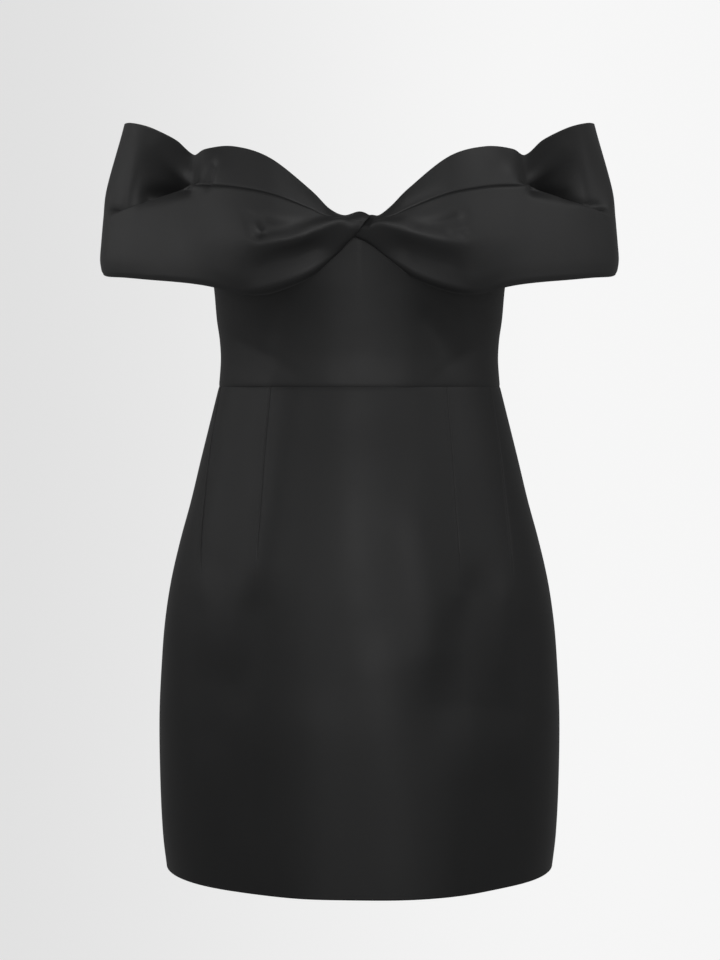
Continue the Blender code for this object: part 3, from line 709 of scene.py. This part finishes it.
def drape_point(places, outward, folds, key):
    """Inner face of the drape on one section, at a key from the lower edge to the top edge."""
    half = ABOVE_TUCK if key > TUCK_KEY else BELOW_TUCK
    point = Vector(hermite(places[half], PLACE_KEYS[half], key))
    in_front = point.y < 0.0
    bulge = crease_height(folds, point.x, point.z) * (1.0 - smooth_step(*FRONT_FADE, point.y))
    bulge += crease_height(BACK_FOLDS, point.x, point.z) * smooth_step(*BACK_FADE, point.y)
    if in_front:
        stitched = smooth_step(*TUCK_START, point.x) * (1.0 - smooth_step(*TUCK_END, point.x))
        bulge -= TUCK_GROOVE * stitched * (1.0 - smooth_step(0.0, TUCK_WIDTH, abs(key - TUCK_KEY)))
    rolled = 1.0 - smooth_step(0.0, RIM_WIDTH, key)
    rim = mix(ROLL_TURN, SLEEVE_TURN, smooth_step(*ROLL_END, point.x))
    point += outward * (bulge - rim * rolled)
    in_front = point.y < 0.0
    surface = body_depth(point.x, point.z, in_front)
    if surface is not None and in_front:
        point.y = min(point.y, surface - DRAPE_CLEARANCE)
    elif surface is not None:
        point.y = max(point.y, surface + DRAPE_CLEARANCE)
    return point


def drape_rows():
    """Keys of the rows, closer together at both edges and at the tuck line."""
    band = [mix(*BAND_SPAN, i / BAND_ROWS) for i in range(BAND_ROWS + 1)]
    flap = [mix(*FLAP_SPAN, i / FLAP_ROWS) for i in range(FLAP_ROWS + 1)]
    return [*LOWER_ROWS, *band, *TUCK_ROWS, *flap, *TOP_ROWS]


def drape_sheet(name, side, twist, folds):
    """One half of the draped front with its sleeve."""
    sections = [[value for place in section for value in place] for section in (*twist, *SLEEVE_SECTIONS)]
    numbers = list(range(len(sections)))
    last = numbers[-1]
    columns = []
    for column in range(DRAPE_COLUMNS + 1):
        along = last * column / DRAPE_COLUMNS
        values = hermite(sections, numbers, along)
        ahead = hermite(sections, numbers, min(last, along + SECTION_REACH))
        behind = hermite(sections, numbers, max(0.0, along - SECTION_REACH))
        run_x, run_y = ahead[TUCK_X] - behind[TUCK_X], ahead[TUCK_Y] - behind[TUCK_Y]
        outward = Vector((run_y, -run_x, 0.0)).normalized()
        places = [values[first:first + 3] for first in range(0, len(values), 3)]
        line = [drape_point(places, outward, folds, key) for key in drape_rows()]
        for point in line:
            point.x *= side
        columns.append(line)
    return cloth_sheet(name, columns, DRAPE_CUT, WALL_OUTSIDE, CLOTH_WALL)


DRAPE_CUT, DRAPE_AREA = (0.50, 0.18), 0.07
SATIN_DRAPE, DRAPE_LUSTRE = (0.0120, 0.0121, 0.0124), 0.50
satin_drape = satin("satin_drape", SATIN_DRAPE, FRONT_ROUGHNESS, DRAPE_LUSTRE)
for name, side, twist, folds in (("left", -1.0, TWIST_SECTIONS_LEFT, FRONT_FOLDS_LEFT),
                                 ("right", 1.0, TWIST_SECTIONS_RIGHT, FRONT_FOLDS_RIGHT)):
    piece = drape_sheet("drape_sleeve_" + name + "_satin", side, twist, folds)
    dress_piece(piece, "drape_sleeve_" + name, satin_drape)

# Room
# A pale paper floor that sweeps up into the wall behind, so that no line shows. The dress hangs at the
# height of a wearer's waist, held by nobody. The paper glows a little, more on the right, as the photo's
# ground does: the glow is painted light, an emission that stands in for light falling on the paper.
# Lengths are in metres from here on.
FLOOR = -1.06
FLOOR_FRONT = -6.0
SWEEP_START, SWEEP_RADIUS, SWEEP_STEPS = 1.5, 1.0, 24
ROOM_HALF = 5.0
WALL_TOP = 4.0
PAPER_TONE, PAPER_ROUGHNESS = 0.25, 0.9
# Painted light: the glow's strength at two places across the room, from left to right.
PAINTED_LIGHT_SPAN, PAINTED_LIGHT_GLOW = (-1.0, 0.5), (0.652, 0.84)
room = bmesh.new()
profile = [Vector((-ROOM_HALF, FLOOR_FRONT, FLOOR)), Vector((-ROOM_HALF, SWEEP_START, FLOOR))]
for step in range(1, SWEEP_STEPS + 1):
    turn = 0.5 * math.pi * step / SWEEP_STEPS
    profile.append(Vector((-ROOM_HALF, SWEEP_START + SWEEP_RADIUS * math.sin(turn),
                           FLOOR + SWEEP_RADIUS * (1.0 - math.cos(turn)))))
profile.append(Vector((-ROOM_HALF, SWEEP_START + SWEEP_RADIUS, WALL_TOP)))
line = [room.verts.new(point) for point in profile]
edges = [room.edges.new(pair) for pair in zip(line, line[1:])]
swept = bmesh.ops.extrude_edge_only(room, edges=edges)
bmesh.ops.translate(room, vec=(2.0 * ROOM_HALF, 0.0, 0.0),
                    verts=[item for item in swept["geom"] if isinstance(item, bmesh.types.BMVert)])
room_data = bpy.data.meshes.new("studio_floor")
room.to_mesh(room_data)
room.free()
room_data.shade_smooth()
floor = bpy.data.objects.new("studio_floor", room_data)
bpy.context.scene.collection.objects.link(floor)
paper = bpy.data.materials.new("pale_paper_painted_light")
paper.use_nodes = True
nodes, links = paper.node_tree.nodes, paper.node_tree.links
shader = nodes["Principled BSDF"]
shader.inputs["Base Color"].default_value = (PAPER_TONE, PAPER_TONE, PAPER_TONE, 1.0)
shader.inputs["Roughness"].default_value = PAPER_ROUGHNESS
shader.inputs["Specular IOR Level"].default_value = 0.0
# Painted light: the paper glows, though it is no lamp, standing in for the light falling on it.
shader.inputs["Emission Strength"].default_value = 1.0
place = nodes.new("ShaderNodeTexCoord")
split = nodes.new("ShaderNodeSeparateXYZ")
# The painted light is ramped from darker on the left to brighter on the right.
sweep = nodes.new("ShaderNodeMapRange")
sweep.interpolation_type = "SMOOTHSTEP"
for slot, value in zip(("From Min", "From Max", "To Min", "To Max"), (*PAINTED_LIGHT_SPAN, *PAINTED_LIGHT_GLOW)):
    sweep.inputs[slot].default_value = value
links.new(place.outputs["Object"], split.inputs[0])
links.new(split.outputs["X"], sweep.inputs["Value"])
links.new(sweep.outputs["Result"], shader.inputs["Emission Color"])
room_data.materials.append(paper)
# The paper sends no light to the satin. The soft boxes and the surroundings do.
floor.visible_diffuse = False
floor.visible_glossy = False

# Camera and light
# The camera stands 1.8 m in front, just above waist height, looking a little down. Soft boxes stand in
# front of the dress, at both sides and above, and white surroundings fill the rest.
CAMERA_PLACE = (0.0005, -1.80, 0.010)
CAMERA_PITCH = math.radians(3.035)
CAMERA_LENS = 74.0
SURROUNDINGS = 0.205
camera_data = bpy.data.cameras.new("camera")
camera_data.lens = CAMERA_LENS
camera = bpy.data.objects.new("camera", camera_data)
camera.location = CAMERA_PLACE
camera.rotation_euler = Euler((math.pi / 2.0 - CAMERA_PITCH, 0.0, 0.0))
bpy.context.scene.collection.objects.link(camera)
bpy.context.scene.camera = camera

# Soft boxes: name, place, what it is aimed at, width, height and power.
SOFT_BOXES = (
    ("front_box", (0.0, -2.6, 0.2), (0.0, 0.0, 0.0), 0.8, 0.8, 12.0),
    ("front_box_high", (0.0, -2.2, 1.7), (0.0, 0.0, 0.0), 0.8, 0.8, 4.5),
    ("front_box_low", (0.35, -2.4, -1.0), (0.0, 0.0, -0.35), 0.8, 0.8, 2.6),
    ("front_box_right", (1.2, -2.3, 0.5), (0.0, 0.0, 0.0), 0.6, 1.2, 1.0),
    ("left_box", (-2.2, -1.0, 0.4), (0.0, 0.0, 0.0), 0.6, 1.0, 5.2),
    ("right_box", (2.2, -1.0, 0.4), (0.0, 0.0, 0.0), 0.6, 1.0, 3.7),
    ("left_box_high", (-1.9, -0.8, 1.4), (0.0, 0.0, 0.0), 0.6, 0.8, 1.2),
    ("right_box_high", (1.9, -0.8, 1.4), (0.0, 0.0, 0.0), 0.6, 0.8, 5.5),
    ("left_rim_box", (-2.2, 0.3, 0.6), (0.0, 0.0, 0.0), 0.6, 1.0, 2.2),
)
for name, place, aim, width, height, power in SOFT_BOXES:
    light = bpy.data.lights.new(name, "AREA")
    light.shape = "RECTANGLE"
    light.size = width
    light.size_y = height
    light.energy = power
    lamp = bpy.data.objects.new(name, light)
    lamp.location = place
    lamp.rotation_euler = (Vector(aim) - Vector(place)).to_track_quat("-Z", "Y").to_euler()
    bpy.context.scene.collection.objects.link(lamp)
world = bpy.data.worlds.new("studio")
world.use_nodes = True
background = world.node_tree.nodes["Background"]
background.inputs["Color"].default_value = (1.0, 1.0, 1.0, 1.0)
background.inputs["Strength"].default_value = SURROUNDINGS
bpy.context.scene.world = world
bpy.context.scene.view_settings.view_transform = "Standard"
